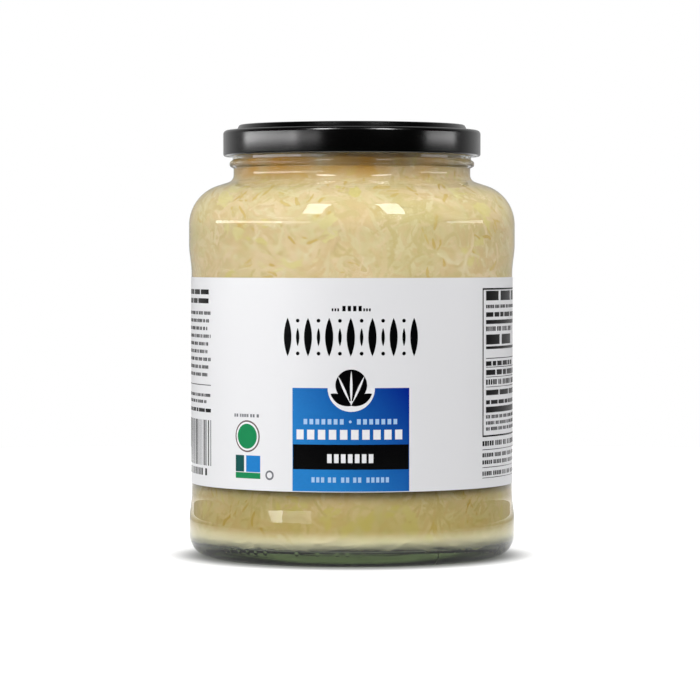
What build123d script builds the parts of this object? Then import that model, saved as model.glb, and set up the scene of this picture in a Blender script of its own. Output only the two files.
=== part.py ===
"""Sauerkraut jar: a round glass jar of sauerkraut in brine, with a wrap label and a twist-off metal lid.

Frame: millimetres, +Z up along the jar's axis, origin in the middle of the base's bearing plane.
The label's front faces -Y and the gap between its ends is at +Y.
"""

import os
from math import atan2, cos, degrees, hypot, pi, radians, sin, tan

from build123d import *

# Glass body.
BODY_RADIUS = 53.8  # the rolls above and below the label panel, the widest part
PANEL_RECESS = 0.8  # the label panel lies this far inside the rolls
GLASS_HEIGHT = 140.2  # bearing plane to the top of the rim
WALL = 3.2  # side wall at the rolls
BASE_THICKNESS = 4.6  # glass under the filling, above the bearing ring
PUSH_UP = 3.0  # rise of the underside in the middle
PUSH_UP_FLAT_RADIUS = 25.0
PUSH_UP_BLEND_RADIUS = 60.0
FLOOR_RISE = 2.4  # rise of the inner floor over the push-up
FLOOR_FLAT_RADIUS = 27.0
FLOOR_BLEND_RADIUS = 60.0
BEARING_WIDTH = 4.6  # the flat ring that the jar stands on
BEARING_ROUNDING = 1.5  # its inner edge
HEEL_RADIUS = 7.0  # outer rounding from the bearing ring to the side
HEEL_INNER_RADIUS = 4.2  # rounding inside the heel
LOWER_ROLL_HEIGHT = 13.0  # top of the heel roll
UPPER_ROLL_DROP = 22.5  # bottom of the shoulder roll, below the foot of the neck
ROLL_BLEND_HEIGHT = 6.5  # height over which a roll runs into the label panel
ROLL_BLEND_RADIUS = 25.0
SHOULDER_RADIUS = 13.5
SHOULDER_FALL = 18.0  # degrees below level, from the neck outwards
ROUNDING_SHARE = 0.98  # at most this much of the shoulder's slope is taken up by roundings

# Neck and the finish that takes the lid.
FINISH_HEIGHT = 16.3  # foot of the neck to the rim
FINISH_RADIUS = 39.4  # the wall that the threads stand on
FINISH_WALL = 2.9
NECK_SET_IN = 0.3  # the neck under the bead, inside the finish wall
NECK_FILLET = 2.5
MOUTH_BLEND_RADIUS = 6.0  # inside, where the mouth opens into the shoulder
RIM_INNER_ROUNDING = 1.3
RIM_OUTER_ROUNDING = 0.6
BEAD_PROUD = 1.0  # the transfer bead below the lid, out from the finish wall
BEAD_HEIGHT = 2.8  # where it leaves the wall
BEAD_CREST = 1.4  # height of its outer face
BEAD_DROP = 10.9  # rim to the middle of the bead
BEAD_ROUNDING = 0.7

# Threads and lugs of the twist-off closure.
LUG_COUNT = 6
THREAD_PROUD = 1.3
THREAD_HEIGHT = 1.4
THREAD_ARC = 48.0  # degrees
THREAD_LEAD = 3.5  # degrees of slope
THREAD_ROOT = 1.0  # how deep a ridge is rooted in the wall
LUG_TURN = 14.0  # degrees from a ridge's middle to the lug that holds it
LUG_ARC = 8.0  # degrees
LUG_GRIP = 0.5  # how far a lug reaches under its ridge
LUG_CLEARANCE = 0.25  # below the ridge
LUG_ROUNDING = 0.2

# Dots of the mould's number code, raised on the heel: degrees from the front, towards -X.
CODE_DOTS = (46.8, 42.7, 38.8, 35.2, 31.2, 19.2, 11.8, 5.0, 1.5)
CODE_DOT_RADIUS = 0.75
CODE_DOT_SUNK = 0.4  # its centre, below the glass surface
CODE_DOT_HEIGHT = 4.5

# Lid of sheet steel.
SHEET = 0.25
LID_CLEARANCE = 1.55  # between the threads and the skirt
LID_CORNER = 1.3
RIM_SEAT = 1.3  # the level ring reaches this far inside the finish wall, over the rim
PANEL_RISE = 1.8  # the middle of the lid above that ring
PANEL_STEP = 0.9  # width of the slope up to it
BUTTON_RADIUS = 15.0  # shallow dished button in the middle
BUTTON_DEPTH = 0.5
BUTTON_SLOPE = 2.0
SHEET_BEND = 0.5  # bending radius of the pressed steps, on the inside of the sheet
SKIRT_DEPTH = 8.65  # top of the level ring to the lower edge
CURL_RADIUS = 0.85  # rolled lower edge

# Filling.
FILL_DEPTH = 7.0  # rim to the filling's level at the wall
FILL_CROWN = 0.8  # the packed shreds stand higher in the middle
FILL_RIPPLE = 0.25
FILL_RIPPLE_PITCH = 12.0
FILL_OUTLINE_POINTS = 13

# Label.
LABEL_THICKNESS = 0.15
LABEL_FOOT_MARGIN = 4.8  # from the panel's lower edge to the label
LABEL_HEAD_MARGIN = 2.8
LABEL_GAP = 8.0  # between the label's ends, along the glass

# Places that follow from the sizes above.
panel_radius = BODY_RADIUS - PANEL_RECESS
neck_radius = FINISH_RADIUS - NECK_SET_IN
mouth_radius = FINISH_RADIUS - FINISH_WALL
thread_radius = FINISH_RADIUS + THREAD_PROUD
lid_radius = thread_radius + LID_CLEARANCE + SHEET
inner_radius = BODY_RADIUS - WALL
bearing_outer = BODY_RADIUS - HEEL_RADIUS
bearing_inner = bearing_outer - BEARING_WIDTH
neck_foot = GLASS_HEIGHT - FINISH_HEIGHT
shoulder_edge = neck_foot - (BODY_RADIUS - neck_radius) * tan(radians(SHOULDER_FALL))
upper_roll_bottom = neck_foot - UPPER_ROLL_DROP
panel_bottom = LOWER_ROLL_HEIGHT + ROLL_BLEND_HEIGHT
panel_top = upper_roll_bottom - ROLL_BLEND_HEIGHT
lid_ring_top = GLASS_HEIGHT + SHEET
lid_bottom = lid_ring_top - SKIRT_DEPTH
lug_top = lid_bottom + 2 * CURL_RADIUS
thread_middle = (
    lug_top
    + LUG_CLEARANCE
    + THREAD_HEIGHT / 2
    + thread_radius * sin(radians(LUG_TURN)) * sin(radians(THREAD_LEAD))
)


def revolved(face: Face, angle: float = 360.0) -> Part:
    """Turn a face in the XZ plane about the jar's axis."""
    return revolve(face, Axis.Z, revolution_arc=angle)


def outline(points: list[tuple[float, float, float]]) -> Face:
    """A face in the XZ plane from corners (radius, height, rounding)."""
    corners = [(r, 0, z) for r, z, _ in points]
    line = FilletPolyline(corners, radius=[rounding for _, _, rounding in points], close=True)
    return Face(Wire(line.edges()))


def rounding_that_fits(wanted: float, outer: float, inner: float, foot_rounding: float) -> float:
    """The shoulder's radius, limited to what its slope holds beside the rounding at its inner end."""
    fall = radians(SHOULDER_FALL)
    slope = (outer - inner) / cos(fall)
    fits = ROUNDING_SHARE * slope / tan((pi / 2 - fall) / 2) - foot_rounding
    return min(wanted, fits)


def glass_outside() -> Face:
    """Half section of the jar's outer shape, with no hollow."""
    bead_middle = GLASS_HEIGHT - BEAD_DROP
    bead_radius = FINISH_RADIUS + BEAD_PROUD
    shoulder = rounding_that_fits(SHOULDER_RADIUS, BODY_RADIUS, neck_radius, NECK_FILLET)
    return outline(
        [
            (0, PUSH_UP, 0),
            (PUSH_UP_FLAT_RADIUS, PUSH_UP, PUSH_UP_BLEND_RADIUS),
            (bearing_inner, 0, BEARING_ROUNDING),
            (BODY_RADIUS, 0, HEEL_RADIUS),
            (BODY_RADIUS, LOWER_ROLL_HEIGHT, ROLL_BLEND_RADIUS),
            (panel_radius, panel_bottom, ROLL_BLEND_RADIUS),
            (panel_radius, panel_top, ROLL_BLEND_RADIUS),
            (BODY_RADIUS, upper_roll_bottom, ROLL_BLEND_RADIUS),
            (BODY_RADIUS, shoulder_edge, shoulder),
            (neck_radius, neck_foot, NECK_FILLET),
            (neck_radius, bead_middle - BEAD_HEIGHT / 2, BEAD_ROUNDING / 2),
            (bead_radius, bead_middle - BEAD_CREST / 2, BEAD_ROUNDING),
            (bead_radius, bead_middle + BEAD_CREST / 2, BEAD_ROUNDING),
            (FINISH_RADIUS, bead_middle + BEAD_HEIGHT / 2, BEAD_ROUNDING / 2),
            (FINISH_RADIUS, GLASS_HEIGHT, RIM_OUTER_ROUNDING),
            (0, GLASS_HEIGHT, 0),
        ]
    )


def cavity_wall() -> list[tuple[float, float, float]]:
    """Corners of the hollow from the middle of its floor up to the mouth's wall."""
    inner_foot = neck_foot - WALL / cos(radians(SHOULDER_FALL))
    drop = (inner_radius - mouth_radius) * tan(radians(SHOULDER_FALL))
    shoulder = rounding_that_fits(SHOULDER_RADIUS - WALL, inner_radius, mouth_radius, MOUTH_BLEND_RADIUS)
    return [
        (0, BASE_THICKNESS + FLOOR_RISE, 0),
        (FLOOR_FLAT_RADIUS, BASE_THICKNESS + FLOOR_RISE, FLOOR_BLEND_RADIUS),
        (inner_radius, BASE_THICKNESS, HEEL_INNER_RADIUS),
        (inner_radius, inner_foot - drop, shoulder),
        (mouth_radius, inner_foot, MOUTH_BLEND_RADIUS),
    ]


def thread_ridge(turn: float) -> Part:
    """One sloping ridge of the finish, centred at an angle about the axis."""
    root = FINISH_RADIUS - THREAD_ROOT
    half = THREAD_HEIGHT / 2
    flank = half * THREAD_ROOT / THREAD_PROUD
    section = outline(
        [
            (root, -half - flank / 2, 0),
            (thread_radius, -half / 2, half / 2),
            (thread_radius, half / 2, half / 2),
            (root, half + flank / 2, 0),
        ]
    )
    ridge = Rot(0, 0, -THREAD_ARC / 2) * revolved(section, THREAD_ARC)
    return Rot(0, 0, turn) * Pos(0, 0, thread_middle) * Rot(-THREAD_LEAD, 0, 0) * ridge


def code_dot(turn: float) -> Part:
    """One raised dot on the rounding of the heel."""
    rise = HEEL_RADIUS - CODE_DOT_HEIGHT
    reach = bearing_outer + (HEEL_RADIUS**2 - rise**2) ** 0.5 - CODE_DOT_SUNK
    around = radians(turn)
    place = Pos(-reach * sin(around), -reach * cos(around), CODE_DOT_HEIGHT)
    return place * Sphere(CODE_DOT_RADIUS)


def jar() -> Part:
    """The glass jar: rolls, label panel, shoulder, finish with bead and threads, thick base."""
    glass = revolved(glass_outside())
    for i in range(LUG_COUNT):
        glass += thread_ridge(i * 360 / LUG_COUNT)
    for turn in CODE_DOTS:
        glass += code_dot(turn)
    above_rim = GLASS_HEIGHT + 1
    hollow = outline([*cavity_wall(), (mouth_radius, above_rim, 0), (0, above_rim, 0)])
    glass -= revolved(hollow)
    lip = glass.edges().filter_by(GeomType.CIRCLE).group_by(Axis.Z)[-1].sort_by(SortBy.LENGTH)[0]
    return fillet(lip, RIM_INNER_ROUNDING)


def sheet_inside(points: list[tuple[float, float, float]]) -> list[tuple[float, float, float]]:
    """The lower face of a pressed sheet whose upper face runs through the given corners."""
    shifted = []
    for i, (r, z, bend) in enumerate(points):
        before = points[max(i - 1, 0)]
        after = points[min(i + 1, len(points) - 1)]
        directions = []
        for a, b in ((before, points[i]), (points[i], after)):
            length = hypot(b[0] - a[0], b[1] - a[1])
            if length:
                directions.append(((b[0] - a[0]) / length, (b[1] - a[1]) / length))
        first, last = directions[0], directions[-1]
        # The offset point of a mitred corner lies along the sum of the two normals.
        normal = (first[1] + last[1], -first[0] - last[0])
        scale = SHEET * 2 / (normal[0] ** 2 + normal[1] ** 2)
        turning_down = first[0] * last[1] - first[1] * last[0] < 0
        inner_bend = bend - SHEET if turning_down else bend + SHEET
        shifted.append((r + normal[0] * scale, z + normal[1] * scale, inner_bend if bend else 0))
    return shifted


def lid() -> Part:
    """The twist-off lid: button, raised panel, ring over the rim, skirt, curl and lugs."""
    ring_inner = FINISH_RADIUS - RIM_SEAT
    middle_edge = ring_inner - PANEL_STEP
    middle_top = lid_ring_top + PANEL_RISE
    bend = SHEET_BEND + SHEET
    curl_height = lid_bottom + CURL_RADIUS
    upper = [
        (0, middle_top - BUTTON_DEPTH, 0),
        (BUTTON_RADIUS, middle_top - BUTTON_DEPTH, bend),
        (BUTTON_RADIUS + BUTTON_SLOPE, middle_top, bend),
        (middle_edge, middle_top, bend),
        (ring_inner, lid_ring_top, bend - SHEET),
        (lid_radius, lid_ring_top, LID_CORNER),
        (lid_radius, curl_height, 0),
    ]
    shell = outline([*upper, *reversed(sheet_inside(upper))])
    curl = Plane.XZ * Pos(lid_radius - CURL_RADIUS, curl_height) * Circle(CURL_RADIUS)
    body = revolved(shell) + revolved(curl.face())
    lug_inner = thread_radius - LUG_GRIP
    lug_outer = lid_radius - SHEET / 2
    lug = outline(
        [
            (lug_inner, lid_bottom + CURL_RADIUS / 2, LUG_ROUNDING),
            (lug_outer, lid_bottom + CURL_RADIUS / 2, 0),
            (lug_outer, lug_top, 0),
            (lug_inner, lug_top, LUG_ROUNDING),
        ]
    )
    for i in range(LUG_COUNT):
        turn = i * 360 / LUG_COUNT + LUG_TURN - LUG_ARC / 2
        body += Rot(0, 0, turn) * revolved(lug, LUG_ARC)
    return body


def sauerkraut() -> Part:
    """The filling: it takes the shape of the hollow up to an uneven top."""
    level = GLASS_HEIGHT - FILL_DEPTH
    wall = [*cavity_wall(), (mouth_radius, level, 0)]
    side = FilletPolyline(
        [(r, 0, z) for r, z, _ in wall], radius=[rounding for _, _, rounding in wall[1:-1]]
    )
    top_points = []
    for i in range(FILL_OUTLINE_POINTS):
        r = mouth_radius * (1 - i / (FILL_OUTLINE_POINTS - 1))
        crown = FILL_CROWN * (1 - (r / mouth_radius) ** 2)
        ripple = FILL_RIPPLE * (1 - cos(2 * pi * (mouth_radius - r) / FILL_RIPPLE_PITCH))
        top_points.append((r, 0, level + crown + ripple))
    top = Spline(top_points)
    axis = Line(top_points[-1], (0, 0, wall[0][1]))
    return revolved(Face(Wire([*side.edges(), top.edge(), axis.edge()])))


def label() -> Part:
    """The wrap label, with a gap between its ends at the back."""
    outer = panel_radius + LABEL_THICKNESS
    foot = panel_bottom + LABEL_FOOT_MARGIN
    top = panel_top - LABEL_HEAD_MARGIN
    strip = outline(
        [
            (panel_radius, foot, 0),
            (outer, foot, 0),
            (outer, top, 0),
            (panel_radius, top, 0),
        ]
    )
    gap = degrees(LABEL_GAP / panel_radius)
    back = degrees(atan2(1, 0))
    return Rot(0, 0, back + gap / 2) * revolved(strip, 360 - gap)


def main() -> None:
    """Write one STEP file for each piece."""
    os.makedirs("parts", exist_ok=True)
    pieces = {"jar": jar, "lid": lid, "sauerkraut": sauerkraut, "label": label}
    for name, make in pieces.items():
        export_step(make(), f"parts/{name}.step")


main()
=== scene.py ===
"""Looks of a jar of sauerkraut: moulded glass, packed shreds, a printed film label and a lacquered lid.

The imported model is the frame: overall sizes are read from its boxes. Fields are in millimetres and
degrees, and a mesh turns them into metres when it is made. The jar's axis is Z and the label faces -Y.
"""

from __future__ import annotations

import logging
import math
from dataclasses import dataclass, field
from enum import Enum

import bpy
import numpy as np
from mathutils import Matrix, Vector

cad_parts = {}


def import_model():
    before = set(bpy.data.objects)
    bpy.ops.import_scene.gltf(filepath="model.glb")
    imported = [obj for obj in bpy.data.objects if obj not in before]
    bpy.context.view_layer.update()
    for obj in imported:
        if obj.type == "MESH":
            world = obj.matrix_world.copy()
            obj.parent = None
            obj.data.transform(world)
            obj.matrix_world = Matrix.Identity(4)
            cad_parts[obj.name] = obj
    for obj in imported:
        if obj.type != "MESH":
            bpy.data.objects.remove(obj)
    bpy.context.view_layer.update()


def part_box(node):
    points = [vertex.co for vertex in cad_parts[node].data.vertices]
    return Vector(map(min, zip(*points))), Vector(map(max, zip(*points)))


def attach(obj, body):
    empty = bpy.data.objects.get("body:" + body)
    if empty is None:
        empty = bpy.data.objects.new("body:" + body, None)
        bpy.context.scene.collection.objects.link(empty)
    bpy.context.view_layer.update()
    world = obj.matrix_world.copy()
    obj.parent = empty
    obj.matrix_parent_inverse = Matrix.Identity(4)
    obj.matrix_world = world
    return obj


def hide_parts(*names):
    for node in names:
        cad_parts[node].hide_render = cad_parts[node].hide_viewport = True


LOG = logging.getLogger("sauerkraut_jar")
MM = 0.001
BODY = "root"

Point = tuple[float, float]
Corner = tuple[float, float, float]
Colour = tuple[float, float, float, float]
Socket = bpy.types.NodeSocket


def linear(hex_code: str) -> Colour:
    """Turn an sRGB hex colour into linear light.

    Args:
        hex_code: Six hex digits after a hash sign.

    Returns:
        Red, green, blue and an alpha of 1.
    """
    shares = [int(hex_code[i : i + 2], 16) / 255 for i in (1, 3, 5)]
    red, green, blue = (c / 12.92 if c <= 0.04045 else ((c + 0.055) / 1.055) ** 2.4 for c in shares)
    return red, green, blue, 1.0


WHITE = linear("#FFFFFF")


class Nodes:
    """The emptied node tree of a material or world, with a short way to add each kind of node."""

    def __init__(self, owner: bpy.types.Material | bpy.types.World) -> None:
        """Empty the owner's node tree.

        Args:
            owner: The material or world.
        """
        owner.use_nodes = True
        self.owner = owner
        self.tree = owner.node_tree
        self.tree.nodes.clear()

    def add_node(self, kind: str, inputs: dict | None = None, **settings) -> bpy.types.Node:
        """Add a shader node, set it up and link it.

        Args:
            kind: Blender's name of the node's type.
            inputs: Each input's name or number with its value, or with the socket that feeds it.
            settings: The node's own properties.

        Returns:
            The new node.
        """
        node = self.tree.nodes.new(kind)
        for name, value in settings.items():
            setattr(node, name, value)
        for name, value in (inputs or {}).items():
            if isinstance(value, Socket):
                self.tree.links.new(value, node.inputs[name])
            else:
                node.inputs[name].default_value = value
        return node

    def place(self) -> Socket:
        """The place on the jar, in metres."""
        return self.add_node("ShaderNodeTexCoord").outputs["Object"]

    def part(self, vector: Socket, axis: str) -> Socket:
        """One part, X, Y or Z, of a vector."""
        return self.add_node("ShaderNodeSeparateXYZ", {"Vector": vector}).outputs[axis]

    def ray(self, kind: str) -> Socket:
        """Whether the ray is of a kind that Light Path names."""
        return self.add_node("ShaderNodeLightPath").outputs[kind]

    def tone(self) -> Socket:
        """The value that the mesh holds at each point."""
        return self.add_node("ShaderNodeAttribute", attribute_name="tone").outputs["Fac"]

    def noise(self, place: Socket, size: float, detail: float, roughness: float = 0.5) -> Socket:
        """Smooth noise from 0 to 1.

        Args:
            place: Where it is read.
            size: Width of its features in millimetres.
            detail: How many finer layers it has.
            roughness: How strong the finer layers are.

        Returns:
            The socket with the noise.
        """
        inputs = {"Vector": place, "Scale": 1 / (size * MM), "Detail": detail, "Roughness": roughness}
        return self.add_node("ShaderNodeTexNoise", inputs).outputs["Fac"]

    def ramp(
        self,
        value: Socket,
        start: float = 0.0,
        end: float = 1.0,
        low: float = 0.0,
        high: float = 1.0,
        smooth: bool = False,
    ) -> Socket:
        """Lead a value's stretch from start to end over to low to high, and hold it beyond.

        Args:
            value: The value.
            start: Where the stretch starts.
            end: Where it ends.
            low: What the start becomes.
            high: What the end becomes.
            smooth: Whether it eases in and out.

        Returns:
            The socket with the result.
        """
        inputs = {"Value": value, "From Min": start, "From Max": end, "To Min": low, "To Max": high}
        kind = "SMOOTHSTEP" if smooth else "LINEAR"
        return self.add_node("ShaderNodeMapRange", inputs, interpolation_type=kind).outputs["Result"]

    def math(self, operation: str, first: Socket, second: Socket, clamp: bool = False) -> Socket:
        """Work out one sum of two values."""
        inputs = {0: first, 1: second}
        return self.add_node("ShaderNodeMath", inputs, operation=operation, use_clamp=clamp).outputs[0]

    def vector(self, operation: str, *values: Socket | Vector | tuple, output: str = "Vector") -> Socket:
        """Work out one sum of vectors."""
        inputs = dict(enumerate(values))
        return self.add_node("ShaderNodeVectorMath", inputs, operation=operation).outputs[output]

    def mix(self, share: Socket | float, first, second, kind: str = "RGBA", blend: str = "MIX") -> Socket:
        """Blend two colours, or two vectors.

        Args:
            share: The second one's share.
            first: The first colour or vector, or its socket.
            second: The second one.
            kind: RGBA for colours or VECTOR for vectors.
            blend: How colours combine.

        Returns:
            The socket with the blend.
        """
        inputs = {"Factor": share, "A": first, "B": second}
        return self.add_node("ShaderNodeMix", inputs, data_type=kind, blend_type=blend).outputs["Result"]

    def choose(self, share: Socket, first: Socket, second: Socket) -> Socket:
        """Blend two shaders by the second one's share."""
        return self.add_node("ShaderNodeMixShader", {0: share, 1: first, 2: second}).outputs["Shader"]

    def bump(self, height: Socket, depth: float) -> Socket:
        """The surface's direction over a relief of the given depth in millimetres."""
        inputs = {"Height": height, "Strength": 1.0, "Distance": depth * MM}
        return self.add_node("ShaderNodeBump", inputs).outputs["Normal"]

    def principled(self, inputs: dict) -> Socket:
        """The general surface shader with the given inputs."""
        return self.add_node("ShaderNodeBsdfPrincipled", inputs).outputs["BSDF"]

    def glow(self, kind: str, strength: Socket | float) -> Socket:
        """White light of a strength, from a Background or an Emission node."""
        return self.add_node(kind, {"Color": WHITE, "Strength": strength}).outputs[0]

    def surface(self, shader: Socket, volume: Socket | None = None) -> bpy.types.Material:
        """Connect the material's output.

        Args:
            shader: What its surface is.
            volume: What fills it, where something does.

        Returns:
            The material.
        """
        inputs = {"Surface": shader}
        if volume is not None:
            inputs["Volume"] = volume
        self.add_node("ShaderNodeOutputMaterial", inputs)
        return self.owner


def new_material(name: str) -> Nodes:
    """A new material's nodes.

    Args:
        name: The material's common name and how its surface was made.

    Returns:
        Its emptied node tree.
    """
    return Nodes(bpy.data.materials.new(name))


# ---------------------------------------------------------------- outlines and meshes


def rounded(corners: list[Corner], arc_step: float = 0.5, line_step: float = 40.0) -> list[Point]:
    """Points along an open line whose corners are rounded by arcs.

    Args:
        corners: Radius, height and rounding of each corner.
        arc_step: Longest step along an arc.
        line_step: Longest step along a straight stretch.

    Returns:
        The line's points as radius and height.
    """
    stops: list[tuple[np.ndarray, list[np.ndarray]]] = []
    places = [np.array(c[:2], float) for c in corners]
    for i, (_, _, rounding) in enumerate(corners):
        here = places[i]
        if i in (0, len(corners) - 1) or rounding <= 0:
            stops.append((here, [here]))
            continue
        back = (places[i - 1] - here) / np.linalg.norm(places[i - 1] - here)
        ahead = (places[i + 1] - here) / np.linalg.norm(places[i + 1] - here)
        half = math.acos(float(np.clip(back @ ahead, -1, 1))) / 2
        middle = (back + ahead) / np.linalg.norm(back + ahead)
        centre = here + middle * rounding / math.sin(half)
        first = here + back * rounding / math.tan(half)
        start = math.atan2(*(first - centre)[::-1])
        sweep = math.pi - 2 * half
        turn = np.sign(back[1] * ahead[0] - back[0] * ahead[1])
        count = max(3, math.ceil(rounding * sweep / arc_step) + 1)
        angles = start + turn * np.linspace(0, sweep, count)
        arc = [centre + rounding * np.array((math.cos(a), math.sin(a))) for a in angles]
        stops.append((here, arc))
    points = [stops[0][1][0]]
    for _, arc in stops[1:]:
        gap = np.linalg.norm(arc[0] - points[-1])
        pieces = max(1, math.ceil(gap / line_step))
        start_point = points[-1]
        points += [start_point + (arc[0] - start_point) * k / pieces for k in range(1, pieces + 1)]
        points += arc[1:]
    return [(float(p[0]), float(p[1])) for p in points]


@dataclass
class MeshParts:
    """Closed shapes gathered into one mesh."""

    vertices: list[np.ndarray] = field(default_factory=list)
    faces: list[list[int]] = field(default_factory=list)
    tones: list[np.ndarray] = field(default_factory=list)
    count: int = 0

    def add(self, vertices: np.ndarray, faces: list, tone: float | np.ndarray = 0.5) -> None:
        """Take in one more shape.

        Args:
            vertices: Its points in millimetres.
            faces: Its faces as lists of point numbers.
            tone: A value for each point, or one for all, that its material may read.
        """
        self.faces += [[int(v) + self.count for v in face] for face in faces]
        self.tones.append(np.broadcast_to(np.asarray(tone, float), (len(vertices),)))
        self.vertices.append(np.asarray(vertices, float))
        self.count += len(vertices)

    def build(self, name: str, material: bpy.types.Material, sharp_above: float = 50.0) -> bpy.types.Object:
        """Make the object.

        Args:
            name: The piece's name.
            material: Its finish.
            sharp_above: Edges that turn by more degrees than this stay sharp.

        Returns:
            The new object, at the origin, riding on the jar's body.
        """
        mesh = bpy.data.meshes.new(name)
        mesh.from_pydata((np.concatenate(self.vertices) * MM).tolist(), [], self.faces)
        tone = mesh.attributes.new("tone", "FLOAT", "POINT")
        tone.data.foreach_set("value", np.concatenate(self.tones).astype(np.float32))
        mesh.shade_smooth()
        mesh.set_sharp_from_angle(angle=math.radians(sharp_above))
        mesh.update()
        mesh.materials.append(material)
        piece = bpy.data.objects.new(name, mesh)
        bpy.context.scene.collection.objects.link(piece)
        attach(piece, BODY)
        return piece


def lathe(
    outline: list[Point], angles: np.ndarray, full_turn: bool = True, lift: np.ndarray | None = None
) -> tuple[np.ndarray, list]:
    """Turn an outline about the jar's axis.

    Args:
        outline: Radius and height of each point. Outside lies to the right of its direction.
        angles: The sections' angles, growing, in radians from -Y towards +X.
        full_turn: Whether the last section joins the first. Otherwise the outline is a closed loop.
        lift: How far each point of each section stands out along the outline's normal.

    Returns:
        The points and the faces.
    """
    line = np.array(outline, float)
    count, turns = len(line), len(angles)
    if full_turn:
        step = np.gradient(line, axis=0)
    else:
        step = np.roll(line, -1, 0) - np.roll(line, 1, 0)
    normal = np.stack([step[:, 1], -step[:, 0]], 1)
    normal /= np.maximum(np.linalg.norm(normal, axis=1, keepdims=True), 1e-9)
    rise = np.zeros((count, turns)) if lift is None else lift
    radius = line[:, :1] + normal[:, :1] * rise
    height = line[:, 1:] + normal[:, 1:] * rise
    grid = np.stack([radius * np.sin(angles), -radius * np.cos(angles), height + 0 * angles], -1)
    on_axis = line[:, 0] < 1e-6
    numbers = np.zeros((count, turns), int)
    vertices: list[np.ndarray] = []
    total = 0
    for i in range(count):
        row = grid[i][:1] if on_axis[i] else grid[i]
        numbers[i] = total if on_axis[i] else total + np.arange(turns)
        vertices.append(row)
        total += len(row)
    faces = []
    rows = range(count - 1) if full_turn else range(count)
    columns = range(turns) if full_turn else range(turns - 1)
    for i in rows:
        low, high = numbers[i], numbers[(i + 1) % count]
        for j in columns:
            k = (j + 1) % turns
            face = [low[j], low[k], high[k], high[j]]
            faces.append(list(dict.fromkeys(face)))
    if not full_turn:
        faces.append(list(numbers[:, 0]))
        faces.append(list(numbers[:, -1])[::-1])
    return np.concatenate(vertices), faces


def around(count: int) -> np.ndarray:
    """Evenly spaced angles over a full turn, in radians."""
    return np.arange(count) * 2 * math.pi / count


def ripples(positions: np.ndarray, waves: int, length: float, seed: int) -> np.ndarray:
    """Smooth seeded unevenness: a sum of plane waves in random directions.

    Args:
        positions: Points in millimetres, in the last axis.
        waves: How many waves are summed.
        length: Their wavelength in millimetres.
        seed: The seed of their directions and phases.

    Returns:
        A value of about -1 to 1 for each point.
    """
    draw = np.random.default_rng(seed)
    total = np.zeros(positions.shape[:-1])
    for _ in range(waves):
        direction = draw.normal(size=3)
        direction /= np.linalg.norm(direction)
        pitch = length * draw.uniform(0.6, 1.6)
        total += np.sin(positions @ direction * 2 * math.pi / pitch + draw.uniform(0, 2 * math.pi))
    return total / math.sqrt(waves)


# ---------------------------------------------------------------- finishes


@dataclass(frozen=True)
class MouldedGlass:
    """Clear soda-lime glass, fire-polished by the mould: it mirrors lamps sharply and greens in depth."""

    name: str = "moulded soda-lime glass"
    tint: str = "#FBFCFB"
    ior: float = 1.5
    brine_ior: float = 1.34
    absorbed: str = "#9CBC88"
    density_per_metre: float = 14.0
    # Painted shade: below base_top the glass is tinted dark olive, partly the green of thick glass and
    # partly the shade under the jar.
    base_shade_tint: str = "#767E60"
    base_top: float = 5.8
    base_fade: float = 0.6
    ripple_size: float = 22.0
    ripple_height: float = 0.02

    def material(self) -> bpy.types.Material:
        """Make the material. Where the mesh's tone is 1 it meets brine, which bends light far less."""
        nodes = new_material(self.name)
        place = nodes.place()
        normal = nodes.bump(nodes.noise(place, self.ripple_size, 1.0), self.ripple_height)
        # The painted base shade fades in over base_fade below base_top.
        fade_from = (self.base_top - self.base_fade) * MM
        above_base = nodes.ramp(nodes.part(place, "Z"), fade_from, self.base_top * MM)
        colour = nodes.mix(above_base, linear(self.base_shade_tint), linear(self.tint))
        dry, wet = (
            nodes.principled(
                {
                    "Base Color": colour,
                    "Roughness": 0.0,
                    "IOR": ior,
                    "Transmission Weight": 1.0,
                    "Normal": normal,
                }
            )
            for ior in (self.ior, self.ior / self.brine_ior)
        )
        glass = nodes.choose(nodes.tone(), dry, wet)
        clear = nodes.add_node("ShaderNodeBsdfTransparent").outputs["BSDF"]
        surface = nodes.choose(nodes.ray("Is Shadow Ray"), glass, clear)
        absorption = {"Color": linear(self.absorbed), "Density": self.density_per_metre}
        inside = nodes.add_node("ShaderNodeVolumeAbsorption", absorption).outputs["Volume"]
        return nodes.surface(surface, inside)


@dataclass(frozen=True)
class Lacquer:
    """Black lacquer baked on tinplate: near black, with soft wide highlights from a fine orange peel."""

    name: str = "lacquered tinplate"
    colour: str = "#020202"
    roughness: float = 0.2
    unevenness: float = 0.03
    wear_size: float = 14.0
    coat_roughness: float = 0.2
    peel_size: float = 0.8
    peel_height: float = 0.004

    def material(self) -> bpy.types.Material:
        """Make the material."""
        nodes = new_material(self.name)
        place = nodes.place()
        peel = nodes.noise(place, self.peel_size, 2.0)
        wear = nodes.noise(place, self.wear_size, 3.0)
        dull, shiny = self.roughness + self.unevenness, self.roughness - self.unevenness
        lacquer = nodes.principled(
            {
                "Base Color": linear(self.colour),
                "Roughness": nodes.ramp(wear, low=shiny, high=dull),
                "IOR": 1.5,
                "Coat Weight": 1.0,
                "Coat Roughness": self.coat_roughness,
                "Coat IOR": 1.6,
                "Normal": nodes.bump(peel, self.peel_height),
            }
        )
        return nodes.surface(lacquer)


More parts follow.
